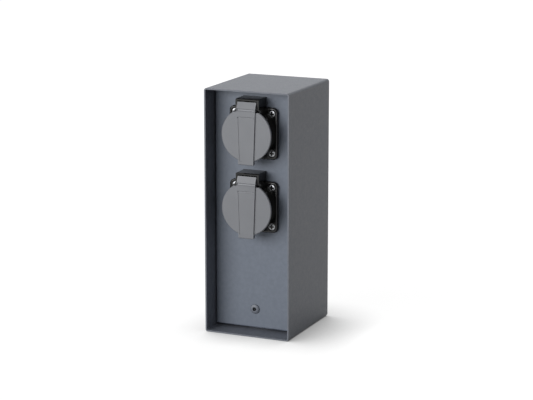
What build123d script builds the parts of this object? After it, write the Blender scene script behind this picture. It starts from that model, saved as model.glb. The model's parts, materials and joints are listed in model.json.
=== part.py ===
from build123d import *
import math
import os

# Garden socket post: an open-fronted sheet box with two hinged-lid sockets on a recessed panel.
# Millimetres, +Z up. The origin is the centre of the footprint; the open front faces -Y.

# Housing
width = 88.0
depth = 100.0
height = 240.0
sheet = 1.5
bend_radius = 2.5
back_edge_chamfer = 1.0
anchor_hole_radius = 3.5
anchor_pitch_x = 64.0
anchor_pitch_y = 44.0
anchor_centre_from_back = 34.0
cable_opening_radius = 15.0
cable_from_back = 32.0

# Front panel
panel_recess = 20.0
panel_sheet = 1.5
panel_bend_radius = 1.8
panel_side_gap = 0.5
panel_top_gap = 1.0
panel_bottom_gap = 2.0
panel_flange_depth = 10.0
panel_corner_relief = 4.0
tongue_width = 24.0
tongue_length = 8.0

# Panel fixings
panel_screw_z = 22.5
panel_screw_radius = 2.5
panel_screw_length = 16.0
panel_screw_head_radius = 4.75
panel_screw_head_height = 2.6
weld_nut_across_flats = 8.0
weld_nut_height = 4.0
bracket_sheet = 2.0
screw_bracket_width = 22.0
screw_bracket_height = 32.0
screw_bracket_foot = 12.0
screw_bracket_shelf_z = 8.0
hook_sheet = 1.5
hook_width = 34.0
hook_lip = 10.0
hook_foot = 14.0
ledge_width = 8.0
ledge_leg = 10.0
ledge_end_gap = 21.5

# Clearances
overrun = 1.0
quarter_turn = 90.0
sheet_clearance = 0.3
hole_clearance = 0.4
thread_clearance = 0.05
part_clearance = 0.3
pin_clearance = 0.05
pin_seat_clearance = 0.02

# Socket places
gap_between_flanges = 21.5
upper_flange_below_top = 17.5

# Socket body
flange_size = 50.0
flange_thickness = 3.0
flange_corner = 5.0
flange_edge_chamfer = 0.6
gasket_thickness = 1.0
gasket_corner_inset = 0.4
collar_setback = 3.2
collar_wall = 2.4
well_inset = 5.4
well_depth = 17.5
key_rib_width = 4.6
key_rib_height = 2.6
key_rib_setback = 2.0
rear_wall = 1.8
floor_thickness = 8.0

# Hinge block and lid hinge
hinge_width = 24.0
hinge_wall = 2.0
hinge_top_above_flange = 9.5
hinge_front_setback = 2.0
hinge_edge_chamfer = 0.8
hinge_cheek_drop = 11.0
hinge_pin_radius = 1.5
hinge_pin_above_flange = 0.5
hinge_pin_setback = 4.0
hinge_knuckle_radius = 3.0

# Lid
lid_overlap = 3.7
lid_thickness = 2.0
lid_edge_chamfer = 0.6
lid_proud = 0.3
strap_raise = 1.2
strap_bend_below_flange_top = 0.7
strap_bend_radius = 1.2
strap_lip_length = 3.0
strap_lip_half_width = 7.8
strap_lip_depth = 3.6
strap_corner_radius = 1.2
arm_skin = 1.4
arm_sweep_radius = 6.5
field_inset = 1.4
field_depth = 0.3
field_below_flange_top = 8.2
field_bottom_inset = 3.4
field_corner_radius = 1.0
notch_width = 3.1
notch_drop = 3.7
lid_seal_overlap = 0.4
lid_seal_gap = 0.2

# Lid spring, wound so tight round the pin that its coil is one sleeve
spring_inner_radius = 1.7
spring_outer_radius = 2.5
spring_coil_width = 6.0
spring_leg_width = 0.8
spring_leg_reach = 5.6
spring_leg_turn = 60.0
spring_slot_half_width = 4.0
spring_slot_radius = 3.0

# Contacts inside a socket, with push-in terminals behind its floor
contact_spacing = 19.0
contact_entry_radius = 2.75
contact_entry_depth = 2.0
sleeve_width = 6.4
sleeve_bore_radius = 2.4
sleeve_bore_depth = 11.0
terminal_width = 7.0
terminal_height = 9.0
terminal_length = 9.0
terminal_end = 21.0
earth_terminal_drop = 12.0
clip_width = 5.0
clip_thickness = 0.8
clip_reach = 11.8
clip_bow = 2.2

# Cable gland on its bridge
bridge_clear_height = 22.5
bridge_width = 48.0
bridge_depth = 28.0
bridge_foot = 7.0
gland_thread_radius = 10.0
gland_bore_radius = 7.0
gland_hex_across_flats = 24.0
gland_hex_height = 18.0
gland_thread_above = 8.0
locknut_height = 5.0
gland_seal_bore_radius = 4.0
gland_seal_length = 7.0

# Earth stud on the back wall
stud_z = 22.0
stud_radius = 2.0
stud_length = 12.0
stud_nut_across_flats = 7.0
stud_nut_height = 3.2

# Bonding strip from the lower earth terminal to the stud
bond_strip_width = 6.5
bond_strip_thickness = 1.0
bond_strip_level_length = 8.0
bond_strip_landing_above_stud = 46.0

# Wires
wire_diameter = 3.0

# Places worked out from the sizes above
front_y = -depth / 2
back_inner_y = depth / 2 - sheet
inner_half_width = width / 2 - sheet
ceiling_z = height - sheet
panel_y = front_y + panel_recess
panel_back_y = panel_y + panel_sheet
panel_flange_end_y = panel_y + panel_flange_depth
panel_half_width = inner_half_width - panel_side_gap
panel_bottom_z = sheet + panel_bottom_gap
panel_top_z = ceiling_z - panel_top_gap
upper_socket_z = height - upper_flange_below_top - flange_size / 2
socket_zs = {"lower": upper_socket_z - flange_size - gap_between_flanges, "upper": upper_socket_z}
anchor_centre_y = depth / 2 - anchor_centre_from_back
cable_y = depth / 2 - cable_from_back

# Depths inside a socket, from the panel's front face, negative towards the front
rim_plane = -panel_recess
flange_back = -gasket_thickness
flange_front = flange_back - flange_thickness
well_radius = flange_size / 2 - well_inset
collar_radius = well_radius + collar_wall
collar_front = rim_plane + collar_setback
well_floor = collar_front + well_depth
floor_back = well_floor + floor_thickness
rear_radius = well_radius + rear_wall
panel_cutout_radius = rear_radius + hole_clearance
hinge_front = rim_plane + hinge_front_setback
hinge_top_above_centre = flange_size / 2 + hinge_top_above_flange
hinge_pin_above_centre = flange_size / 2 + hinge_pin_above_flange
hinge_pin_y = rim_plane + hinge_pin_setback
lid_face = rim_plane - lid_proud
lid_back = lid_face + lid_thickness
strap_face = lid_face - strap_raise
strap_bend_above_centre = flange_size / 2 - strap_bend_below_flange_top
field_top_above_centre = flange_size / 2 - field_below_flange_top
strap_half_width = hinge_width / 2 - hinge_wall - part_clearance
seal_back = collar_front - lid_seal_gap
lid_radius = collar_radius + lid_overlap
lid_seal_radius = collar_radius + lid_seal_overlap
strap_lip_z = -lid_radius - strap_lip_length
contact_xs = (-contact_spacing / 2, contact_spacing / 2)
clip_seat = well_radius - part_clearance - clip_thickness / 2
clip_bridge_y = floor_back + clip_thickness / 2 + pin_clearance
terminal_start = terminal_end - terminal_length


# Solids from flat outlines

def slab_x(outline, x_from, x_to):
    """Extrudes an outline drawn in (y, z) from one x to another."""
    plane = Plane(origin=(x_from, 0, 0), x_dir=(0, 1, 0), z_dir=(1, 0, 0))
    return extrude(plane * outline, amount=x_to - x_from, dir=(1, 0, 0))


def slab_y(outline, y_from, y_to):
    """Extrudes an outline drawn in (x, z) from one y to another."""
    plane = Plane(origin=(0, y_from, 0), x_dir=(1, 0, 0), z_dir=(0, -1, 0))
    return extrude(plane * outline, amount=y_to - y_from, dir=(0, 1, 0))


def slab_z(outline, z_from, z_to):
    """Extrudes an outline drawn in (x, y) from one z to another."""
    return extrude(Plane((0, 0, z_from)) * outline, amount=z_to - z_from, dir=(0, 0, 1))


def block(x_span, y_span, z_span):
    """A box between two coordinates on each axis."""
    spans = (x_span, y_span, z_span)
    sizes = [high - low for low, high in spans]
    centre = [(low + high) / 2 for low, high in spans]
    return Pos(*centre) * Box(*sizes)


def ribbon(points, thickness):
    """The outline of a bent strip of even thickness along a line of points, on the line's left side."""
    inner = []
    for i, point in enumerate(points):
        before = Vector(*point) - Vector(*points[i - 1]) if i else None
        after = Vector(*points[i + 1]) - Vector(*point) if i + 1 < len(points) else None
        ways = [way.normalized() for way in (before, after) if way is not None]
        normals = [Vector(-way.Y, way.X) for way in ways]
        middle = sum(normals[1:], normals[0]).normalized()
        inner.append(Vector(*point) + middle * (thickness / middle.dot(normals[0])))
    corners = [Vector(*point) for point in points] + inner[::-1]
    return make_face(Polyline(*corners, close=True))


# Housing and panel

def housing_shell():
    """The folded box: four walls, a back and an open front, with rounded long edges."""
    upright = Pos(0, height / 2)
    outer = slab_y(upright * RectangleRounded(width, height, bend_radius), front_y, depth / 2)
    outer = chamfer(outer.faces().sort_by(Axis.Y)[-1].edges(), back_edge_chamfer)
    inner_outline = RectangleRounded(width - 2 * sheet, height - 2 * sheet, bend_radius - sheet)
    shell = outer - slab_y(upright * inner_outline, front_y - overrun, back_inner_y)
    for x in (-anchor_pitch_x / 2, anchor_pitch_x / 2):
        for y in (-anchor_pitch_y / 2, anchor_pitch_y / 2):
            hole = Pos(x, anchor_centre_y + y) * Circle(anchor_hole_radius)
            shell -= slab_z(hole, -overrun, sheet + overrun)
    return shell - slab_z(Pos(0, cable_y) * Circle(cable_opening_radius), -overrun, sheet + overrun)


def front_panel():
    """A tray with its four edges bent back, a top tongue, two cut-outs and the screw holes."""
    panel_height = panel_top_z - panel_bottom_z
    middle = Pos(0, (panel_top_z + panel_bottom_z) / 2)
    outer = slab_y(middle * Rectangle(2 * panel_half_width, panel_height), panel_y, panel_flange_end_y)
    outer = fillet(outer.faces().sort_by(Axis.Y)[0].edges(), panel_bend_radius)
    inner_outline = Rectangle(2 * (panel_half_width - panel_sheet), panel_height - 2 * panel_sheet)
    inner = slab_y(middle * inner_outline, panel_back_y, panel_flange_end_y + overrun)
    panel = outer - fillet(inner.faces().sort_by(Axis.Y)[0].edges(), panel_bend_radius - panel_sheet)
    relief_y = (panel_y + panel_bend_radius, panel_flange_end_y + overrun)
    for side in (-1, 1):
        for edge_z, inward in ((panel_bottom_z, 1), (panel_top_z, -1)):
            x_far = side * (panel_half_width + overrun)
            x_near = side * (panel_half_width - panel_corner_relief)
            z_ends = sorted((edge_z - inward * overrun, edge_z + inward * panel_corner_relief))
            panel -= block(sorted((x_far, x_near)), relief_y, z_ends)
    tongue_y = (panel_flange_end_y, panel_flange_end_y + tongue_length)
    panel += block((-tongue_width / 2, tongue_width / 2), tongue_y, (panel_top_z - panel_sheet, panel_top_z))
    holes = [Pos(0, panel_screw_z) * Circle(panel_screw_radius + hole_clearance)]
    for z in socket_zs.values():
        holes.append(Pos(0, z) * Circle(panel_cutout_radius))
    for hole in holes:
        panel -= slab_y(hole, panel_y - overrun, panel_back_y + overrun)
    return panel


def hook_bracket():
    """A stepped strip under the ceiling whose lip carries the panel's tongue."""
    lip_top = panel_top_z - panel_sheet - sheet_clearance
    riser_y = panel_flange_end_y + tongue_length + sheet_clearance + hook_sheet
    route = [(riser_y - hook_lip, lip_top - hook_sheet), (riser_y, lip_top - hook_sheet),
             (riser_y, ceiling_z - hook_sheet), (riser_y + hook_foot, ceiling_z - hook_sheet)]
    return slab_x(ribbon(route, hook_sheet), -hook_width / 2, hook_width / 2)


def side_ledges():
    """Two angle strips on the side walls that stop the panel's bent-back edges."""
    front = panel_flange_end_y + sheet_clearance
    z_ends = (panel_bottom_z + ledge_end_gap, panel_top_z - ledge_end_gap)
    ledges = []
    for side in (-1, 1):
        wall_x = side * inner_half_width
        toe = block(sorted((wall_x, wall_x - side * ledge_width)), (front, front + bracket_sheet), z_ends)
        leg = block(sorted((wall_x, wall_x - side * bracket_sheet)), (front, front + ledge_leg), z_ends)
        ledges.append(toe + leg)
    return ledges


def screw_bracket_front():
    """The bracket's front face, just behind the panel."""
    return panel_back_y + sheet_clearance


def screw_bracket():
    """A stepped strip on the floor behind the panel, clear of its bottom edge."""
    front = screw_bracket_front()
    riser = panel_flange_end_y + sheet_clearance
    route = [(front, screw_bracket_height), (front, screw_bracket_shelf_z), (riser, screw_bracket_shelf_z),
             (riser, sheet), (riser + screw_bracket_foot, sheet)]
    angle = slab_x(ribbon(route, bracket_sheet), -screw_bracket_width / 2, screw_bracket_width / 2)
    hole = Pos(0, panel_screw_z) * Circle(panel_screw_radius + hole_clearance)
    return angle - slab_y(hole, front - overrun, front + bracket_sheet + overrun)


def weld_nut():
    """The hexagon nut welded behind the bracket."""
    back = screw_bracket_front() + bracket_sheet
    hexagon = RegularPolygon(weld_nut_across_flats / 2, 6, major_radius=False)
    outline = Pos(0, panel_screw_z) * (hexagon - Circle(panel_screw_radius + thread_clearance))
    return slab_y(outline, back, back + weld_nut_height)


def panel_screw():
    """The screw whose head sits on the panel."""
    head = slab_y(Circle(panel_screw_head_radius), -panel_screw_head_height, 0)
    return Pos(0, panel_y, panel_screw_z) * (head + slab_y(Circle(panel_screw_radius), 0, panel_screw_length))


# Socket insert, modelled with its centre at x = 0, z = 0 and the panel's front face at y = 0

def hinge_block():
    """Two cheeks and a roof that stand from the flange to just behind the rim plane."""
    pin_z = hinge_pin_above_centre
    top = hinge_top_above_centre
    low = top - hinge_wall - hinge_cheek_drop - hinge_knuckle_radius
    step_y = seal_back + part_clearance
    step_z = pin_z - hinge_knuckle_radius
    slope_z = step_z + step_y - hinge_front
    side = [(flange_back, low), (step_y, low), (step_y, step_z), (hinge_front, slope_z),
            (hinge_front, top), (flange_back, top)]
    outer = slab_x(make_face(Polyline(*side, close=True)), -hinge_width / 2, hinge_width / 2)
    top_edges = outer.faces().sort_by(Axis.Z)[-1].edges()
    outer = chamfer(top_edges.filter_by(Axis.X).sort_by(Axis.Y)[0:1] + top_edges.filter_by(Axis.Y),
                    hinge_edge_chamfer)
    half_gap = hinge_width / 2 - hinge_wall
    hollow_z = (low - overrun, top - hinge_wall)
    hollow = block((-half_gap, half_gap), (hinge_front - overrun, flange_front), hollow_z)
    pin_hole = Pos(hinge_pin_y, pin_z) * Circle(hinge_pin_radius + pin_seat_clearance)
    blind_x = half_gap + hinge_wall / 2
    return outer - hollow - slab_x(pin_hole, -hinge_width / 2 - overrun, blind_x)


def socket_body():
    """The moulded body: flange, collar, plug well with its ribs and floor, and hinge block."""
    flange = slab_y(RectangleRounded(flange_size, flange_size, flange_corner), flange_front, flange_back)
    body = chamfer(flange.faces().sort_by(Axis.Y)[0].edges(), flange_edge_chamfer) + hinge_block()
    body += slab_y(Circle(collar_radius), collar_front, flange_back)
    body += slab_y(Circle(rear_radius), flange_back, floor_back)
    body -= slab_y(Circle(well_radius), collar_front - overrun, well_floor)
    rib_bar = Rectangle(2 * well_radius + collar_wall, key_rib_width)
    ribs = slab_y(rib_bar, collar_front + key_rib_setback, well_floor)
    body += ribs - slab_y(Circle(well_radius - key_rib_height), collar_front, well_floor + overrun)
    pocket_width = sleeve_width + 2 * part_clearance
    for x in contact_xs:
        body -= slab_y(Pos(x, 0) * Circle(contact_entry_radius), well_floor - overrun, floor_back)
        pocket = Pos(x, 0) * Rectangle(pocket_width, pocket_width)
        body -= slab_y(pocket, well_floor + contact_entry_depth, floor_back + overrun)
    for side in (-1, 1):
        slot = Pos(0, side * clip_seat) * Rectangle(clip_width + 2 * part_clearance,
                                                    clip_thickness + 2 * part_clearance)
        body -= slab_y(slot, well_floor - overrun, floor_back + overrun)
    return body


def flange_gasket():
    """The flat eight-sided gasket under the flange and hinge block, its corners inside the screws."""
    across_corners = flange_size - 2 * gasket_corner_inset
    corners_cut = Rot(0, 0, quarter_turn / 2) * Rectangle(across_corners, across_corners)
    frame = Rectangle(flange_size, flange_size) & corners_cut
    tab = Pos(0, hinge_top_above_centre / 2) * Rectangle(hinge_width, hinge_top_above_centre)
    window = Rot(0, 0, quarter_turn / 4) * RegularPolygon(panel_cutout_radius, 8, major_radius=False)
    return slab_y(frame + tab - window, flange_back, 0)


def terminal(x, z):
    """The box of a contact's push-in terminal behind the floor."""
    x_ends = (x - terminal_width / 2, x + terminal_width / 2)
    return block(x_ends, (terminal_start, terminal_end), (z - terminal_height / 2, z + terminal_height / 2))


def contact_sleeves():
    """Two square contact sleeves bored for a plug's pins, each with its terminal."""
    start = well_floor + contact_entry_depth + part_clearance
    sleeves = []
    for x in contact_xs:
        tube = slab_y(Pos(x, 0) * Rectangle(sleeve_width, sleeve_width), start, terminal_start)
        bore = slab_y(Pos(x, 0) * Circle(sleeve_bore_radius), start - overrun, start + sleeve_bore_depth)
        sleeves.append(tube + terminal(x, 0) - bore)
    return sleeves


def earth_clip():
    """A bowed strip round the floor's back that shows at the top and bottom of the well."""
    half = clip_thickness / 2
    outline = Pos(clip_bridge_y, 0) * Rectangle(clip_thickness, 2 * clip_seat + clip_thickness)
    for side in (-1, 1):
        bow = [(clip_bridge_y, side * (clip_seat - half)), (well_floor, side * (clip_seat - half)),
               (well_floor - clip_reach / 2, side * (clip_seat - clip_bow)),
               (well_floor - clip_reach, side * (clip_seat - half))]
        outline += ribbon(bow, -side * clip_thickness)
    clip = slab_x(outline, -clip_width / 2, clip_width / 2)
    clip += block((-clip_width / 2, clip_width / 2), (clip_bridge_y, terminal_start),
                  (-earth_terminal_drop - half, -earth_terminal_drop + half))
    return clip + terminal(0, -earth_terminal_drop)


# Lid, which turns about the hinge pin

def arm_top():
    """Where the arm's front plane meets the circle that the arm's top sweeps under the roof."""
    bend = Vector(strap_face - hinge_pin_y, strap_bend_above_centre - hinge_pin_above_centre)
    roof_above_pin = hinge_top_above_centre - hinge_wall - hinge_pin_above_centre
    roof_front = Vector(hinge_front - hinge_pin_y, roof_above_pin)
    way = (roof_front - bend).normalized()
    along = bend.dot(way)
    reach = -along + math.sqrt(along ** 2 + arm_sweep_radius ** 2 - bend.dot(bend))
    top = bend + way * reach
    return Vector(top.X + hinge_pin_y, top.Y + hinge_pin_above_centre), way


def lid_strap():
    """The strap from under the hinge roof, over the disc, to the finger lip."""
    top, way = arm_top()
    back_of_skin = Vector(way.Y, -way.X) * arm_skin
    bend = (strap_face, strap_bend_above_centre)
    side = [(top.X, top.Y), bend, (strap_face, strap_lip_z), (strap_face + strap_lip_depth, strap_lip_z),
            (strap_face + strap_lip_depth, -lid_radius), (lid_back, -lid_radius + lid_thickness),
            (lid_back, strap_bend_above_centre - arm_skin),
            (top.X + back_of_skin.X, top.Y + back_of_skin.Y)]
    outline = make_face(Polyline(*side, close=True))
    corners = outline.vertices()
    rounded = [corners.sort_by_distance(place)[0] for place in (bend, (strap_face, strap_lip_z))]
    outline = fillet(rounded, strap_bend_radius)
    strap = slab_x(outline, -strap_half_width, strap_half_width)
    front_view = [(-strap_half_width, hinge_top_above_centre), (-strap_half_width, strap_bend_above_centre),
                  (-strap_lip_half_width, strap_lip_z), (strap_lip_half_width, strap_lip_z),
                  (strap_half_width, strap_bend_above_centre), (strap_half_width, hinge_top_above_centre)]
    trim = make_face(Polyline(*front_view, close=True))
    lip_corners = trim.vertices().sort_by(Axis.Y)[0:2]
    trim = fillet(lip_corners, strap_corner_radius)
    return strap & slab_y(trim, strap_face - overrun, hinge_pin_y)


def lid_knuckles():
    """The arm's body round the pin, from knuckle to knuckle."""
    top, _ = arm_top()
    corner_line = Line((strap_face, strap_bend_above_centre), (top.X, top.Y))
    pin = Pos(hinge_pin_y, hinge_pin_above_centre)
    hull = make_hull((pin * Circle(hinge_knuckle_radius)).edges() + [corner_line])
    return slab_x(hull, -strap_half_width, strap_half_width)


def spring_slot():
    """The room for the spring between the knuckles, open behind and above."""
    pin = Pos(hinge_pin_y, hinge_pin_above_centre)
    slot = slab_x(pin * Circle(spring_slot_radius), -spring_slot_half_width, spring_slot_half_width)
    behind = block((-spring_slot_half_width, spring_slot_half_width),
                   (hinge_pin_y - spring_slot_radius / 2, hinge_pin_y + arm_sweep_radius),
                   (hinge_pin_above_centre - spring_slot_radius, hinge_top_above_centre))
    return slot + behind


def strap_field():
    """The shallow field sunk in the strap's front."""
    span = strap_bend_above_centre - strap_lip_z
    taper = strap_half_width - strap_lip_half_width

    def half_width(z):
        return strap_lip_half_width + taper * (z - strap_lip_z) / span - field_inset

    top, bottom = field_top_above_centre, strap_lip_z + field_bottom_inset
    corners = [(-half_width(top), top), (-half_width(bottom), bottom), (half_width(bottom), bottom),
               (half_width(top), top)]
    outline = make_face(Polyline(*corners, close=True))
    outline = fillet(outline.vertices(), field_corner_radius)
    return slab_y(outline, strap_face - overrun, strap_face + field_depth)


def lid():
    """The hinged lid: disc, strap and knuckles."""
    disc = slab_y(Circle(lid_radius), lid_face, lid_back)
    disc = chamfer(disc.edges().filter_by(GeomType.CIRCLE).sort_by(Axis.Y)[0], lid_edge_chamfer)
    gap_to = strap_half_width + notch_width
    through = (lid_face - overrun, lid_back + overrun)
    for side in (-1, 1):
        notch_x = sorted((side * strap_half_width, side * gap_to))
        disc -= block(notch_x, through, (lid_radius - notch_drop, lid_radius))
    cover = disc + lid_strap() + lid_knuckles()
    pin_bore = Pos(hinge_pin_y, hinge_pin_above_centre) * Circle(hinge_pin_radius + pin_clearance)
    cover -= slab_x(pin_bore, -strap_half_width - overrun, strap_half_width + overrun)
    return cover - spring_slot() - strap_field()


def lid_seal():
    """The seal pad on the lid's back, a hair off the collar."""
    return slab_y(Circle(lid_seal_radius), lid_back, seal_back)


def hinge_pin():
    """The steel pin, flush with the left cheek and blind in the right one."""
    seat = hinge_width / 2 - hinge_wall / 2 - pin_clearance
    return slab_x(Pos(hinge_pin_y, hinge_pin_above_centre) * Circle(hinge_pin_radius), -hinge_width / 2, seat)


def lid_spring():
    """The torsion spring round the pin, its coil and the leg up under the roof."""
    pin = Pos(0, hinge_pin_y, hinge_pin_above_centre)
    coil = slab_x(Circle(spring_outer_radius) - Circle(spring_inner_radius), -spring_coil_width / 2,
                  spring_coil_width / 2)
    leg = block((spring_coil_width / 2 - spring_leg_width, spring_coil_width / 2), (0, spring_leg_reach),
                (spring_inner_radius, spring_outer_radius))
    return pin * (coil + Rot(spring_leg_turn, 0, 0) * leg)


SOCKET_PARTS = {
    "socket_body": socket_body, "flange_gasket": flange_gasket, "contact_sleeves": contact_sleeves,
    "earth_clip": earth_clip, "lid": lid, "lid_seal": lid_seal, "hinge_pin": hinge_pin,
    "lid_spring": lid_spring,
}


# Cable gland on its bridge

def bridge_top_z():
    """The upper face of the bridge plate."""
    return sheet + bridge_clear_height + bracket_sheet


def gland_bridge():
    """A raised plate on two legs over the floor's cable opening."""
    half = bridge_width / 2
    top = bridge_top_z()
    low = sheet + bracket_sheet
    route = [(-half - bridge_foot, low), (-half, low), (-half, top), (half, top), (half, low),
             (half + bridge_foot, low)]
    outline = ribbon(route, -bracket_sheet)
    y_ends = (cable_y - bridge_depth / 2, cable_y + bridge_depth / 2)
    bridge = slab_y(outline, *y_ends)
    hole = Pos(0, cable_y) * Circle(gland_thread_radius + hole_clearance)
    return bridge - slab_z(hole, low, top + overrun)


def gland_hexagon():
    """The spanner outline shared by the gland's nut and body."""
    return Pos(0, cable_y) * RegularPolygon(gland_hex_across_flats / 2, 6, major_radius=False)


def gland_body():
    """Hexagon under the plate with its thread above it and a bore for the cable and seal."""
    axis = Pos(0, cable_y)
    under = bridge_top_z() - bracket_sheet
    top = bridge_top_z() + gland_thread_above
    head = slab_z(gland_hexagon(), under - gland_hex_height, under)
    thread = slab_z(axis * Circle(gland_thread_radius), under, top)
    bore = slab_z(axis * Circle(gland_bore_radius), under - gland_hex_height - overrun, top + overrun)
    return head + thread - bore


def gland_locknut():
    """The lock nut above the plate."""
    outline = gland_hexagon() - Pos(0, cable_y) * Circle(gland_thread_radius + thread_clearance)
    return slab_z(outline, bridge_top_z(), bridge_top_z() + locknut_height)


def gland_seal():
    """The rubber sleeve that grips the cable at the lower end of the bore."""
    low = bridge_top_z() - bracket_sheet - gland_hex_height
    ring = Circle(gland_bore_radius - thread_clearance) - Circle(gland_seal_bore_radius)
    return slab_z(Pos(0, cable_y) * ring, low, low + gland_seal_length)


# Earth stud on the back wall

def stud_disc(radius, y_from, y_to):
    """A cylinder on the stud's axis."""
    return slab_y(Pos(0, stud_z) * Circle(radius), y_from, y_to)


def earth_stud():
    """The stud welded to the back wall."""
    return stud_disc(stud_radius, back_inner_y - stud_length, back_inner_y)


def bond_strip():
    """A flat strip from behind the lower earth terminal down the back wall and over the stud."""
    start_z = socket_zs["lower"] - earth_terminal_drop
    start_y = panel_y + terminal_end
    landing_z = stud_z + bond_strip_landing_above_stud
    route = [(start_y, start_z), (start_y + bond_strip_level_length, start_z),
             (back_inner_y, landing_z), (back_inner_y, stud_z - bond_strip_width)]
    strip = slab_x(ribbon(route, -bond_strip_thickness), -bond_strip_width / 2, bond_strip_width / 2)
    hole_from = back_inner_y - bond_strip_thickness - overrun
    return strip - stud_disc(stud_radius + thread_clearance, hole_from, back_inner_y + overrun)


def earth_nut():
    """The nut that clamps the strip."""
    hexagon = RegularPolygon(stud_nut_across_flats / 2, 6, major_radius=False)
    outline = Pos(0, stud_z) * (hexagon - Circle(stud_radius + thread_clearance))
    back = back_inner_y - bond_strip_thickness
    return slab_y(outline, back - stud_nut_height, back)


# Wires

def jumper(name, x, drop):
    """A stiff wire straight up from the lower socket's terminal into the upper one."""
    y = panel_y + (terminal_start + terminal_end) / 2
    low = socket_zs["lower"] - drop + terminal_height / 2
    high = socket_zs["upper"] - drop - terminal_height / 2
    solid = slab_z(Pos(x, y) * Circle(wire_diameter / 2), low, high)
    length = high - low
    share = solid.volume / (math.pi * (wire_diameter / 2) ** 2 * length)
    print(f"{name}: length {length:.1f} mm, volume over section times length {share:.4f}")
    return solid


def wire_live():
    """The live wire on the left."""
    return jumper("live", contact_xs[0], 0)


def wire_neutral():
    """The neutral wire on the right."""
    return jumper("neutral", contact_xs[1], 0)


def wire_earth():
    """The earth wire between the two middle terminals."""
    return jumper("earth", 0, earth_terminal_drop)


ROOT_PARTS = {
    "housing_shell": housing_shell, "front_panel": front_panel, "hook_bracket": hook_bracket,
    "side_ledges": side_ledges, "screw_bracket": screw_bracket, "weld_nut": weld_nut,
    "panel_screw": panel_screw, "gland_bridge": gland_bridge, "gland_body": gland_body,
    "gland_locknut": gland_locknut, "gland_seal": gland_seal,
    "earth_stud": earth_stud, "bond_strip": bond_strip, "earth_nut": earth_nut,
    "wire_live": wire_live, "wire_neutral": wire_neutral, "wire_earth": wire_earth,
}


def write(node, shape):
    """Writes one node, a single solid or a group of separate solids."""
    solids = shape if isinstance(shape, list) else [shape]
    solids = [solid for piece in solids for solid in piece.solids()]
    export_step(solids[0] if len(solids) == 1 else Compound(children=solids), f"parts/{node}.step")


os.makedirs("parts", exist_ok=True)
for node, make in ROOT_PARTS.items():
    write(node, make())
for part, make in SOCKET_PARTS.items():
    made = make()
    pieces = made if isinstance(made, list) else [made]
    for place, z in socket_zs.items():
        write(f"{place}_{part}", [Pos(0, panel_y, z) * piece for piece in pieces])
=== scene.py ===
import json
import math

import bmesh
import bpy
from mathutils import Matrix, Vector

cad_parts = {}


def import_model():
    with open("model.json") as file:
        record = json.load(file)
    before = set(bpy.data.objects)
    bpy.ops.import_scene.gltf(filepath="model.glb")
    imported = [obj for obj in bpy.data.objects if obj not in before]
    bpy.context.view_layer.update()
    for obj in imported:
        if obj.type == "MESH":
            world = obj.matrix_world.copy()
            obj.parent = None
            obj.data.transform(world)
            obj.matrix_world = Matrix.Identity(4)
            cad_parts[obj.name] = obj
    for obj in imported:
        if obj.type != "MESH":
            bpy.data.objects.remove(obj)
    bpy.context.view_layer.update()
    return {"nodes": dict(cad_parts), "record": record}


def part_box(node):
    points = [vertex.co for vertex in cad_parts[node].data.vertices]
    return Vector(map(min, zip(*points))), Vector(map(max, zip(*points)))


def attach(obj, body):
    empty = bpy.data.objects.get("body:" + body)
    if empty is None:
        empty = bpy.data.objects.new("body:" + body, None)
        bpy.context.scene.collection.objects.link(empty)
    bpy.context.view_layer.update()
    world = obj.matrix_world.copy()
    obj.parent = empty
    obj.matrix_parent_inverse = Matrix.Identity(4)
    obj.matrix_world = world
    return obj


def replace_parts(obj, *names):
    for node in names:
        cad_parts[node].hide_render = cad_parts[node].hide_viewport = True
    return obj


# A garden socket post on a pale studio floor. Metres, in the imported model's frame.
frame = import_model()
nodes = frame["nodes"]

MM = 0.001
SIDES = ("upper", "lower")

# Camera
camera_place = (0.7337, -1.6562, 0.5287)
camera_yaw = 23.928
camera_down = 12.567
camera_lens = 128.54
sensor_width = 36.0
camera_near = 0.05
camera_far = 100.0

# Rounded edges of the dressed pieces
weld_distance = 0.005 * MM
flat_angle = 0.5
sharp_angle = 28.0
bend_angle = 6.0
bend_area = 8.0 * MM ** 2
housing_round = 0.3 * MM
panel_round = 0.15 * MM
body_round = 0.3 * MM
lid_round = 0.2 * MM
lid_bend_round = 1.2 * MM
round_segments = 2

# Flanges, their screws and the recesses that these sit in
flange_thickness = 3.0 * MM
flange_rim_round = 1.4 * MM
flange_rim_steps = 5
flange_corner = 5.0 * MM
corner_steps = 8
rim_step = 0.04 * MM
rim_overrun = 1.0 * MM
well_reach = 20.6 * MM
flange_screw_inset = 6.0 * MM
recess_radius = 3.5 * MM
recess_lip = 0.6 * MM
recess_lip_steps = 5
recess_depth = 1.2 * MM
screw_head_radius = 3.3 * MM
screw_head_height = 0.9 * MM
screw_dome_share = 0.4
screw_dome_steps = 8
cross_arm = 2.5 * MM
cross_half_width = 0.8 * MM
cross_overrun = 0.3 * MM

# Grooves across a lid's strap: height above the socket's centre, radius, depth and half length
strap_grooves = (
    (24.3 * MM, 1.6 * MM, 0.95 * MM, 9.3 * MM),
    (16.8 * MM, 0.8 * MM, 0.65 * MM, 8.4 * MM),
)
groove_steps = 48

# Panel screw
dome_edge_share = 0.25
dome_height_share = 0.75
dome_steps = 12
hexagon_radius = 2.1 * MM
hexagon_overrun = 0.5 * MM

# Hinge springs
coil_radius = 2.1 * MM
coil_wire_radius = 0.36 * MM
coil_turns = 6.5
coil_half_length = 2.6 * MM
coil_leg = 5.6 * MM
coil_lean = 60.0
coil_steps_per_turn = 18
wire_sides = 8

lathe_steps = 48

# Floor: its colour and its own glow where it is seen directly, with a painted contact shadow in the glow,
# and its colour for bounced light
floor_half_size = 30.0
floor_colour = 0.25
floor_glow_near = 0.9
floor_glow_far = 1.0
floor_near = 0.2
floor_far = 1.0
# Painted contact shadow in the floor's glow: how far it reaches, and the leaning normal that puts it mostly
# to the object's right and a little in front
painted_shadow_reach = 0.06
painted_shadow_lean = (-0.45, 0.15, 0.88)
floor_bounce = 0.15
world_grey = 0.094

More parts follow.
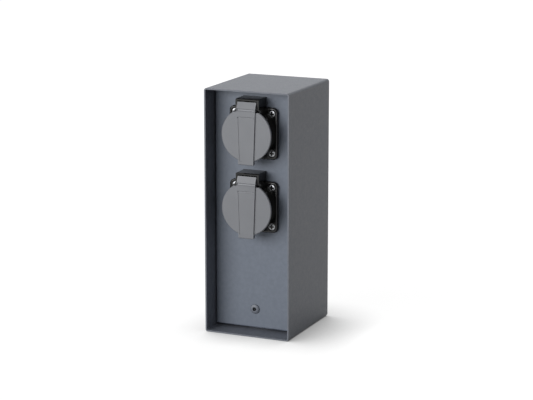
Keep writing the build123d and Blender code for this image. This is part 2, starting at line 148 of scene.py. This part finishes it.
# Lamps: place, width, height and power
lamps = {
    "key": ((-1.18, -2.15, 0.72), 2.4, 1.2, 51.5),
    "top": ((0.0, 0.5, 1.8), 1.2, 1.2, 10.5),
}
lamp_target = (0, 0, 0.12)

# Surfaces: where most of a noise's values lie, its detail, a grain's height, the wires and the black gloss
noise_span = (0.3, 0.7)
grain_detail = 3.0
cloud_detail = 2.0
grain_height = 0.05 * MM
wire_grain = 2500.0
wire_bump = 0.1
wire_roughness = (0.4, 0.5)
stripe_scale = 300.0
stripe_edge = (0.48, 0.52)
black_specular = 0.38
brushed = (1.0, 1.0, 40.0)


# Materials

def rgb(red, green, blue):
    """A display colour of 0 to 255 as the linear colour that shaders take."""
    def linear(value):
        share = value / 255
        return share / 12.92 if share <= 0.04045 else ((share + 0.055) / 1.055) ** 2.4
    return (linear(red), linear(green), linear(blue), 1.0)


class Nodes:
    """A material's node tree with its shader, coordinates and a few shorthand calls."""

    def __init__(self, name):
        self.material = bpy.data.materials.new(name)
        self.material.use_nodes = True
        self.tree = self.material.node_tree
        self.shader = self.tree.nodes["Principled BSDF"]
        self.coordinates = self.add("ShaderNodeTexCoord").outputs["Object"]

    def add(self, kind, **settings):
        """A new node with its settings."""
        node = self.tree.nodes.new(kind)
        for key, value in settings.items():
            setattr(node, key, value)
        return node

    def link(self, source, target):
        """Joins an output to an input."""
        self.tree.links.new(source, target)

    def stretched(self, scale):
        """The object's coordinates, stretched along its axes."""
        mapping = self.add("ShaderNodeMapping")
        mapping.inputs["Scale"].default_value = scale
        self.link(self.coordinates, mapping.inputs["Vector"])
        return mapping.outputs["Vector"]

    def noise(self, scale, detail=grain_detail, vector=None):
        """Noise over the object's coordinates, or over the given ones."""
        texture = self.add("ShaderNodeTexNoise")
        texture.inputs["Scale"].default_value = scale
        texture.inputs["Detail"].default_value = detail
        self.link(vector or self.coordinates, texture.inputs["Vector"])
        return texture.outputs["Fac"]

    def ramp(self, source, stops):
        """Colours along a value, given as (place, colour) pairs."""
        ramp = self.add("ShaderNodeValToRGB")
        for i, (place, colour) in enumerate(stops):
            element = ramp.color_ramp.elements[i] if i < 2 else ramp.color_ramp.elements.new(place)
            element.position, element.color = place, colour
        self.link(source, ramp.inputs["Fac"])
        return ramp.outputs["Color"]

    def spread(self, source, low, high):
        """A value brought from where noise mostly lies to low-high."""
        span = self.add("ShaderNodeMapRange")
        for socket, value in zip(("From Min", "From Max", "To Min", "To Max"), (*noise_span, low, high)):
            span.inputs[socket].default_value = value
        self.link(source, span.inputs["Value"])
        return span.outputs["Result"]

    def bump(self, height, strength):
        """Raises the surface's shading by a value."""
        bump = self.add("ShaderNodeBump")
        bump.inputs["Distance"].default_value = grain_height
        bump.inputs["Strength"].default_value = strength
        self.link(height, bump.inputs["Height"])
        self.link(bump.outputs["Normal"], self.shader.inputs["Normal"])


def moulded(name, dark, light, grain, bump, roughness, metallic=0.0, cloud=9.0, stretch=None):
    """A surface with a faint cloud in its colour, a fine grain and uneven gloss."""
    nodes_of = Nodes(name)
    fine_place = nodes_of.stretched(stretch) if stretch else None
    grain_value = nodes_of.noise(grain, vector=fine_place)
    colour = nodes_of.ramp(nodes_of.noise(cloud, cloud_detail), zip(noise_span, (dark, light)))
    nodes_of.link(colour, nodes_of.shader.inputs["Base Color"])
    nodes_of.link(nodes_of.spread(grain_value, *roughness), nodes_of.shader.inputs["Roughness"])
    nodes_of.shader.inputs["Metallic"].default_value = metallic
    nodes_of.bump(grain_value, bump)
    return nodes_of.material


def striped_wire():
    """Green insulation with a yellow stripe along each side."""
    nodes_of = Nodes("earth_wire")
    stripes = nodes_of.add("ShaderNodeTexWave")
    stripes.inputs["Scale"].default_value = stripe_scale
    nodes_of.link(nodes_of.coordinates, stripes.inputs["Vector"])
    colour = nodes_of.ramp(stripes.outputs["Fac"], zip(stripe_edge, (rgb(40, 120, 50), rgb(215, 200, 40))))
    nodes_of.link(colour, nodes_of.shader.inputs["Base Color"])
    grain = nodes_of.noise(wire_grain)
    nodes_of.link(nodes_of.spread(grain, *wire_roughness), nodes_of.shader.inputs["Roughness"])
    nodes_of.bump(grain, wire_bump)
    return nodes_of.material


def plain_wire(name, dark, light):
    """Insulation in one colour."""
    return moulded(name, dark, light, wire_grain, wire_bump, wire_roughness)


materials = {
    "coat": moulded("coat", rgb(113, 117, 126), rgb(120, 124, 133), grain=900.0, bump=0.3,
                    roughness=(0.4, 0.55), cloud=260.0),
    "panel_coat": moulded("panel_coat", rgb(110, 118, 131), rgb(117, 125, 138), grain=900.0, bump=0.3,
                          roughness=(0.4, 0.55), cloud=260.0),
    "black_plastic": moulded("black_plastic", rgb(15, 15, 16), rgb(21, 21, 22), grain=1800.0, bump=0.05,
                             roughness=(0.18, 0.26)),
    "lid_plastic": moulded("lid_plastic", rgb(130, 132, 137), rgb(136, 138, 143), grain=2600.0, bump=0.15,
                           roughness=(0.26, 0.36), cloud=40.0),
    "seal_rubber": moulded("seal_rubber", rgb(26, 26, 27), rgb(36, 36, 37), grain=1500.0, bump=0.3,
                           roughness=(0.65, 0.85)),
    "steel": moulded("steel", rgb(150, 152, 155), rgb(168, 170, 173), grain=900.0, bump=0.2,
                     roughness=(0.28, 0.42), metallic=1.0, cloud=30.0, stretch=brushed),
    "dark_screw": moulded("dark_screw", rgb(108, 113, 123), rgb(114, 119, 129), grain=1500.0, bump=0.1,
                          roughness=(0.4, 0.5)),
    "brass": moulded("brass", rgb(196, 160, 92), rgb(212, 178, 108), grain=1200.0, bump=0.1,
                     roughness=(0.25, 0.38), metallic=1.0, cloud=40.0),
    "tinned_copper": moulded("tinned_copper", rgb(190, 188, 182), rgb(208, 205, 198), grain=1200.0, bump=0.1,
                             roughness=(0.25, 0.4), metallic=1.0),
    "gland_plastic": moulded("gland_plastic", rgb(40, 41, 43), rgb(50, 51, 53), grain=1600.0, bump=0.25,
                             roughness=(0.45, 0.6)),
    "live_wire": plain_wire("live_wire", rgb(96, 56, 34), rgb(108, 64, 40)),
    "neutral_wire": plain_wire("neutral_wire", rgb(44, 84, 160), rgb(52, 94, 172)),
    "earth_wire": striped_wire(),
}
black_shader = materials["black_plastic"].node_tree.nodes["Principled BSDF"]
black_shader.inputs["Specular IOR Level"].default_value = black_specular


def dress(thing, slot):
    """Gives an object its slot's material."""
    thing.data.materials.clear()
    thing.data.materials.append(materials[slot])


# Mesh helpers

def add_object(name, mesh, slot, body):
    """Links a mesh as a named piece that rides on a body."""
    thing = bpy.data.objects.new(name, mesh)
    bpy.context.scene.collection.objects.link(thing)
    dress(thing, slot)
    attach(thing, body)
    return thing


def baked(thing):
    """Applies the object's modifiers to its mesh."""
    bpy.context.view_layer.update()
    graph = bpy.context.evaluated_depsgraph_get()
    mesh = bpy.data.meshes.new_from_object(thing.evaluated_get(graph))
    thing.modifiers.clear()
    thing.data = mesh
    return thing


def cut(thing, cutters):
    """Cuts closed meshes out of a piece."""
    for mesh in cutters:
        tool = bpy.data.objects.new("cutter", mesh)
        bpy.context.scene.collection.objects.link(tool)
        boolean = thing.modifiers.new("cut", "BOOLEAN")
        boolean.object, boolean.operation, boolean.solver = tool, "DIFFERENCE", "EXACT"
        baked(thing)
        bpy.data.objects.remove(tool)
    return thing


def clean_copy(mesh):
    """A mesh opened for work, with its doubled points joined and its flats made whole."""
    work = bmesh.new()
    work.from_mesh(mesh)
    bmesh.ops.remove_doubles(work, verts=work.verts, dist=weld_distance)
    bmesh.ops.dissolve_limit(work, angle_limit=math.radians(flat_angle), verts=work.verts, edges=work.edges)
    return work


def rounded(thing, width, bend_width=None, where=None):
    """Rounds a piece's sharp edges and its bends, shades it smooth and keeps its flats flat."""
    bend_width = bend_width or width
    widest = max(width, bend_width)
    work = clean_copy(thing.data)
    weight = work.edges.layers.float.new("bevel_weight_edge")
    for edge in work.edges:
        here = where is None or where(edge)
        edge.smooth = here or not is_sharp(edge)
        edge[weight] = here * (width if is_sharp(edge) else bend_width if is_bend(edge) else 0.0) / widest
    for face in work.faces:
        face.smooth = True
    work.to_mesh(thing.data)
    work.free()
    bevel = thing.modifiers.new("round", "BEVEL")
    bevel.width, bevel.segments, bevel.limit_method = widest, round_segments, "WEIGHT"
    return flat_shaded(thing)


def flat_shaded(thing):
    """Lets the large faces of a smooth piece set its shading, so that its flats look flat."""
    thing.modifiers.new("flats", "WEIGHTED_NORMAL").keep_sharp = True
    return baked(thing)


def is_sharp(edge):
    """Whether two faces meet at more than a bend."""
    return len(edge.link_faces) == 2 and math.degrees(edge.calc_face_angle()) > sharp_angle


def is_bend(edge):
    """Whether an edge is a shallow bend between two large faces."""
    if len(edge.link_faces) != 2 or math.degrees(edge.calc_face_angle()) < bend_angle:
        return False
    return min(face.calc_area() for face in edge.link_faces) > bend_area


def copy_of(node, name, slot, body):
    """A piece with a CAD node's form, which stands for the node."""
    thing = add_object(name, nodes[node].data.copy(), slot, body)
    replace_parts(thing, node)
    return thing


def mesh_of(work, name):
    """Ends work on a mesh and returns it."""
    mesh = bpy.data.meshes.new(name)
    work.to_mesh(mesh)
    work.free()
    return mesh


def round_outline(radius, count):
    """The (x, y) corners of a regular outline, the first one on +X."""
    turns = (2 * math.pi * i / count for i in range(count))
    return [(radius * math.cos(a), radius * math.sin(a)) for a in turns]


def quarter(steps):
    """Angles from 0 to a right angle."""
    return [math.pi / 2 * i / steps for i in range(steps + 1)]


def lathe(profile):
    """A closed mesh turned about +Z from (radius, height) pairs that run from axis to axis."""
    work = bmesh.new()
    rings = []
    for radius, height in profile:
        if radius == 0:
            rings.append([work.verts.new((0, 0, height))])
            continue
        rings.append([work.verts.new((x, y, height)) for x, y in round_outline(radius, lathe_steps)])
    for low, high in zip(rings, rings[1:]):
        for i in range(lathe_steps):
            j = (i + 1) % lathe_steps
            corners = [low[i % len(low)], low[j % len(low)], high[j % len(high)], high[i % len(high)]]
            work.faces.new(list(dict.fromkeys(corners)))
    bmesh.ops.recalc_face_normals(work, faces=work.faces)
    for face in work.faces:
        face.smooth = True
    return mesh_of(work, "turned")


def prism(outline, low, high):
    """A closed mesh from an (x, y) outline between two heights."""
    work = bmesh.new()
    rings = [[work.verts.new((x, y, z)) for x, y in outline] for z in (low, high)]
    work.faces.new(rings[0][::-1])
    work.faces.new(rings[1])
    for i in range(len(outline)):
        j = (i + 1) % len(outline)
        work.faces.new([rings[0][i], rings[0][j], rings[1][j], rings[1][i]])
    return mesh_of(work, "prism")


def tube(points, radius):
    """A closed mesh of round wire along a path."""
    work = bmesh.new()
    rings = []
    side = Vector((1, 0, 0))
    for i, point in enumerate(points):
        along = (points[min(i + 1, len(points) - 1)] - points[max(i - 1, 0)]).normalized()
        side = (side - along * side.dot(along)).normalized()
        up = along.cross(side)
        turns = (2 * math.pi * k / wire_sides for k in range(wire_sides))
        rings.append([work.verts.new(point + radius * (math.cos(a) * side + math.sin(a) * up))
                      for a in turns])
    for low, high in zip(rings, rings[1:]):
        for k in range(wire_sides):
            j = (k + 1) % wire_sides
            work.faces.new([low[k], low[j], high[j], high[k]])
    work.faces.new(rings[0][::-1])
    work.faces.new(rings[-1])
    bmesh.ops.recalc_face_normals(work, faces=work.faces)
    for face in work.faces:
        face.smooth = True
    return mesh_of(work, "wire")


def facing_front(place):
    """The move that points a mesh's +Z out of the open front, at a place."""
    return Matrix.Translation(place) @ Matrix.Rotation(math.radians(90), 4, "X")


def dome(radius, height, edge_share, steps):
    """The profile of a domed head with an upright edge below its dome."""
    edge = height * edge_share
    profile = [(0, 0), (radius, 0), (radius, edge)]
    for angle in quarter(steps)[1:-1]:
        profile.append((radius * math.cos(angle), edge + (height - edge) * math.sin(angle)))
    return profile + [(0, height)]


# Pieces

def housing():
    """The sheet housing with softened rims."""
    return rounded(copy_of("housing_shell", "housing", "coat", "post"), housing_round)


def panel():
    """The recessed front panel."""
    return rounded(copy_of("front_panel", "panel", "panel_coat", "post"), panel_round)


def socket_middle(side):
    """The centre of a socket on its flange's front face, and the flange's half width."""
    low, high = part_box(side + "_socket_body")
    gasket_low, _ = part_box(side + "_flange_gasket")
    half = (high.x - low.x) / 2
    return Vector((0, gasket_low.y - flange_thickness, low.z + half)), half


def flange_screw_places(side):
    """The four screws' places on the flange's front face."""
    middle, half = socket_middle(side)
    reach = half - flange_screw_inset
    return [middle + Vector((x, 0, z)) for x in (-reach, reach) for z in (-reach, reach)]


def rim_cutter(side):
    """A frame round the flange that takes its front rim off in a quarter round."""
    middle, half = socket_middle(side)
    profile = [(flange_rim_round * (1 - math.sin(a)), flange_rim_round * (1 - math.cos(a)))
               for a in quarter(flange_rim_steps)]
    profile[-1] = (rim_step, flange_rim_round)
    profile += [(-rim_overrun, flange_rim_round), (-rim_overrun, -rim_overrun),
                (flange_rim_round, -rim_overrun)]
    corner = half - flange_corner
    outline = []
    for number, (x_way, z_way) in enumerate(((1, 1), (-1, 1), (-1, -1), (1, -1))):
        for i in range(corner_steps + 1):
            turn = math.pi / 2 * (number + i / corner_steps)
            outline.append((corner * x_way, corner * z_way, turn))
    work = bmesh.new()
    rings = []
    for inset, depth in profile:
        reach = flange_corner - inset
        places = (Vector((x + reach * math.cos(turn), depth, z + reach * math.sin(turn)))
                  for x, z, turn in outline)
        rings.append([work.verts.new(middle + place) for place in places])
    for low, high in zip(rings, rings[1:] + rings[:1]):
        for i in range(len(outline)):
            j = (i + 1) % len(outline)
            work.faces.new([low[i], low[j], high[j], high[i]])
    bmesh.ops.recalc_face_normals(work, faces=work.faces)
    return mesh_of(work, "rim")


def recess_cutter(place):
    """The round pocket of a flange screw, with a rounded lip."""
    mouth = recess_radius + recess_lip
    lip = [(mouth - recess_lip * math.cos(a), -recess_lip + recess_lip * math.sin(a))
           for a in quarter(recess_lip_steps)]
    profile = [(0, -recess_depth), (recess_radius, -recess_depth)] + lip
    mesh = lathe(profile + [(mouth, recess_depth), (0, recess_depth)])
    mesh.transform(facing_front(place))
    return mesh


def sockets():
    """Both black bodies: the lower is rounded and gets its screw recesses, the upper is its copy."""
    lower = copy_of("lower_socket_body", "lower_socket", "black_plastic", "post")
    middle, _ = socket_middle("lower")
    cutters = [rim_cutter("lower")] + [recess_cutter(place) for place in flange_screw_places("lower")]
    back = middle.y + flange_thickness - weld_distance

    def outside(edge):
        """Whether an edge lies in front of the panel and outside the round well."""
        spot = (edge.verts[0].co + edge.verts[1].co) / 2 - middle
        return math.hypot(spot.x, spot.z) > well_reach and all(vertex.co.y < back for vertex in edge.verts)

    rounded(cut(lower, cutters), body_round, where=outside)
    mesh = lower.data.copy()
    mesh.transform(Matrix.Translation(socket_middle("upper")[0] - middle))
    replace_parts(add_object("upper_socket", mesh, "black_plastic", "post"), "upper_socket_body")


def flange_screw_mesh():
    """A domed head with a cross recess."""
    profile = dome(screw_head_radius, screw_head_height, screw_dome_share, screw_dome_steps)
    head = bpy.data.objects.new("head", lathe(profile))
    bpy.context.scene.collection.objects.link(head)
    cross = [(-cross_half_width, -cross_arm), (cross_half_width, -cross_arm),
             (cross_half_width, cross_arm), (-cross_half_width, cross_arm)]
    heights = (-cross_overrun, screw_head_height + cross_overrun)
    cut(head, [prism(cross, *heights), prism([(y, -x) for x, y in cross], *heights)])
    mesh = head.data
    bpy.data.objects.remove(head)
    return mesh


def flange_screws():
    """The eight screws, each in its recess."""
    head = flange_screw_mesh()
    for side in SIDES:
        for number, place in enumerate(flange_screw_places(side), 1):
            mesh = head.copy()
            mesh.transform(facing_front(place + Vector((0, recess_depth, 0))))
            add_object(f"{side}_flange_screw_{number}", mesh, "steel", "post")


def panel_screw():
    """The domed screw low on the panel, with a hexagon socket."""
    low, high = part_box("panel_screw")
    radius = (high.x - low.x) / 2
    panel_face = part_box("front_panel")[0].y
    height = dome_height_share * (panel_face - low.y)
    head = lathe(dome(radius, height, dome_edge_share, dome_steps))
    thing = add_object("panel_dome_screw", head, "dark_screw", "post")
    cut(thing, [prism(round_outline(hexagon_radius, 6), -hexagon_overrun, height + hexagon_overrun)])
    thing.data.transform(facing_front(Vector((0, panel_face, (low.z + high.z) / 2))))
    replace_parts(thing, "panel_screw")


def groove_cutter(place, radius, depth, half_length):
    """A round bar along X that sinks into a face at a place."""
    mesh = prism(round_outline(radius, groove_steps), -half_length, half_length)
    axis = place + Vector((0, depth - radius, 0))
    mesh.transform(Matrix.Translation(axis) @ Matrix.Rotation(math.radians(90), 4, "Y"))
    return mesh


def lid(side):
    """The hinged lid with rounded edges and two shallow grooves across its strap."""
    name = side + "_cover"
    thing = rounded(copy_of(side + "_lid", name, "lid_plastic", name), lid_round, lid_bend_round)
    face_centre = Vector((0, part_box(side + "_lid")[0].y, socket_middle(side)[0].z))

    def at_groove(edge):
        """Whether an edge belongs to a groove."""
        spot = (edge.verts[0].co + edge.verts[1].co) / 2 - face_centre
        return any(abs(spot.z - up) <= radius and abs(spot.x) <= half_length + weld_distance
                   and spot.y < 2 * depth for up, radius, depth, half_length in strap_grooves)

    cut(thing, [groove_cutter(face_centre + Vector((0, 0, up)), *sizes) for up, *sizes in strap_grooves])
    work = bmesh.new()
    work.from_mesh(thing.data)
    for edge in work.edges:
        if is_sharp(edge) and at_groove(edge):
            edge.smooth = False
    for face in work.faces:
        face.smooth = True
    work.to_mesh(thing.data)
    work.free()
    return flat_shaded(thing)


def spring(side):
    """The coil round the hinge pin, with its leg on the lid's arm."""
    low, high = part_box(side + "_hinge_pin")
    steps = int(coil_turns * coil_steps_per_turn)
    points = []
    for i in range(steps + 1):
        turn = 2 * math.pi * coil_turns * (i / steps - 1)
        across = coil_half_length * (2 * i / steps - 1)
        points.append(Vector((across, coil_radius * math.sin(turn), coil_radius * math.cos(turn))))
    points.append(points[-1] + Vector((0, coil_leg, 0)))
    mesh = tube(points, coil_wire_radius)
    lean = Matrix.Rotation(math.radians(coil_lean), 4, "X")
    mesh.transform(Matrix.Translation((low + high) / 2) @ lean)
    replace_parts(add_object(side + "_spring", mesh, "steel", side + "_cover"), side + "_lid_spring")


# Studio

def floor():
    """A wide white floor that keeps soft lamp shadows and a painted contact shadow in its glow, and is mid
    grey to bounced light.
    """
    size = floor_half_size
    mesh = bpy.data.meshes.new("floor")
    corners = [(-size, -size, 0), (size, -size, 0), (size, size, 0), (-size, size, 0)]
    mesh.from_pydata(corners, [], [(0, 1, 2, 3)])
    thing = bpy.data.objects.new("floor", mesh)
    bpy.context.scene.collection.objects.link(thing)
    material = bpy.data.materials.new("floor")
    material.use_nodes = True
    tree = material.node_tree
    tree.nodes.clear()
    shaded = tree.nodes.new("ShaderNodeBsdfDiffuse")
    shaded.inputs["Color"].default_value = (floor_colour, floor_colour, floor_colour, 1)
    glow = tree.nodes.new("ShaderNodeEmission")
    tree.links.new(floor_glow(tree), glow.inputs["Strength"])
    # Painted contact shadow: ambient occlusion about a leaning normal darkens the glow round the object's
    # base
    contact = tree.nodes.new("ShaderNodeAmbientOcclusion")
    contact.inputs["Distance"].default_value = painted_shadow_reach
    side = tree.nodes.new("ShaderNodeCombineXYZ")
    for i, part in enumerate(painted_shadow_lean):
        side.inputs[i].default_value = part
    tree.links.new(side.outputs["Vector"], contact.inputs["Normal"])
    tree.links.new(contact.outputs["Color"], glow.inputs["Color"])
    seen = tree.nodes.new("ShaderNodeAddShader")
    tree.links.new(shaded.outputs["BSDF"], seen.inputs[0])
    tree.links.new(glow.outputs["Emission"], seen.inputs[1])
    bounced = tree.nodes.new("ShaderNodeBsdfDiffuse")
    bounced.inputs["Color"].default_value = (floor_bounce, floor_bounce, floor_bounce, 1)
    mix = tree.nodes.new("ShaderNodeMixShader")
    tree.links.new(straight_rays(tree), mix.inputs["Fac"])
    tree.links.new(bounced.outputs["BSDF"], mix.inputs[1])
    tree.links.new(seen.outputs["Shader"], mix.inputs[2])
    output = tree.nodes.new("ShaderNodeOutputMaterial")
    tree.links.new(mix.outputs["Shader"], output.inputs["Surface"])
    mesh.materials.append(material)


def floor_glow(tree):
    """The floor's own white, which grows with the distance from the object."""
    place = tree.nodes.new("ShaderNodeTexCoord")
    distance = tree.nodes.new("ShaderNodeVectorMath")
    distance.operation = "LENGTH"
    tree.links.new(place.outputs["Object"], distance.inputs[0])
    span = tree.nodes.new("ShaderNodeMapRange")
    span.interpolation_type = "SMOOTHSTEP"
    for socket_name, value in (("From Min", floor_near), ("From Max", floor_far),
                               ("To Min", floor_glow_near), ("To Max", floor_glow_far)):
        span.inputs[socket_name].default_value = value
    tree.links.new(distance.outputs["Value"], span.inputs["Value"])
    return span.outputs["Result"]


def straight_rays(tree):
    """1 for camera, glossy and transmission rays, 0 for the rest."""
    path = tree.nodes.new("ShaderNodeLightPath")
    total = path.outputs["Is Camera Ray"]
    for name in ("Is Glossy Ray", "Is Transmission Ray"):
        either = tree.nodes.new("ShaderNodeMath")
        either.operation = "MAXIMUM"
        tree.links.new(total, either.inputs[0])
        tree.links.new(path.outputs[name], either.inputs[1])
        total = either.outputs["Value"]
    return total


def world():
    """White behind the object and a level grey light on it."""
    backdrop = bpy.data.worlds.new("studio")
    bpy.context.scene.world = backdrop
    backdrop.use_nodes = True
    tree = backdrop.node_tree
    tree.nodes.clear()
    white = tree.nodes.new("ShaderNodeBackground")
    grey = tree.nodes.new("ShaderNodeBackground")
    white.inputs["Color"].default_value = (1, 1, 1, 1)
    grey.inputs["Color"].default_value = (1, 1, 1, 1)
    grey.inputs["Strength"].default_value = world_grey
    mix = tree.nodes.new("ShaderNodeMixShader")
    tree.links.new(straight_rays(tree), mix.inputs["Fac"])
    tree.links.new(grey.outputs["Background"], mix.inputs[1])
    tree.links.new(white.outputs["Background"], mix.inputs[2])
    output = tree.nodes.new("ShaderNodeOutputWorld")
    tree.links.new(mix.outputs["Shader"], output.inputs["Surface"])


def lamp(name, place, width, height, power):
    """A soft light that points at the object's middle."""
    data = bpy.data.lights.new(name, "AREA")
    data.shape, data.size, data.size_y, data.energy = "RECTANGLE", width, height, power
    thing = bpy.data.objects.new(name, data)
    bpy.context.scene.collection.objects.link(thing)
    thing.location = place
    thing.rotation_euler = (Vector(lamp_target) - Vector(place)).to_track_quat("-Z", "Y").to_euler()


def camera():
    """The camera at the photograph's place and angle."""
    data = bpy.data.cameras.new("camera")
    data.sensor_width, data.lens = sensor_width, camera_lens
    data.clip_start, data.clip_end = camera_near, camera_far
    thing = bpy.data.objects.new("camera", data)
    bpy.context.scene.collection.objects.link(thing)
    thing.location = camera_place
    thing.rotation_euler = (math.radians(90 - camera_down), 0, math.radians(camera_yaw))
    bpy.context.scene.camera = thing


for subpart in frame["record"]["subparts"]:
    dress(nodes[subpart["node"]], subpart["material_slot"])

camera()
housing()
panel()
sockets()
for side in SIDES:
    lid(side)
    spring(side)
flange_screws()
panel_screw()
floor()
world()
for name, sizes in lamps.items():
    lamp(name, *sizes)
bpy.context.scene.view_settings.view_transform = "Standard"
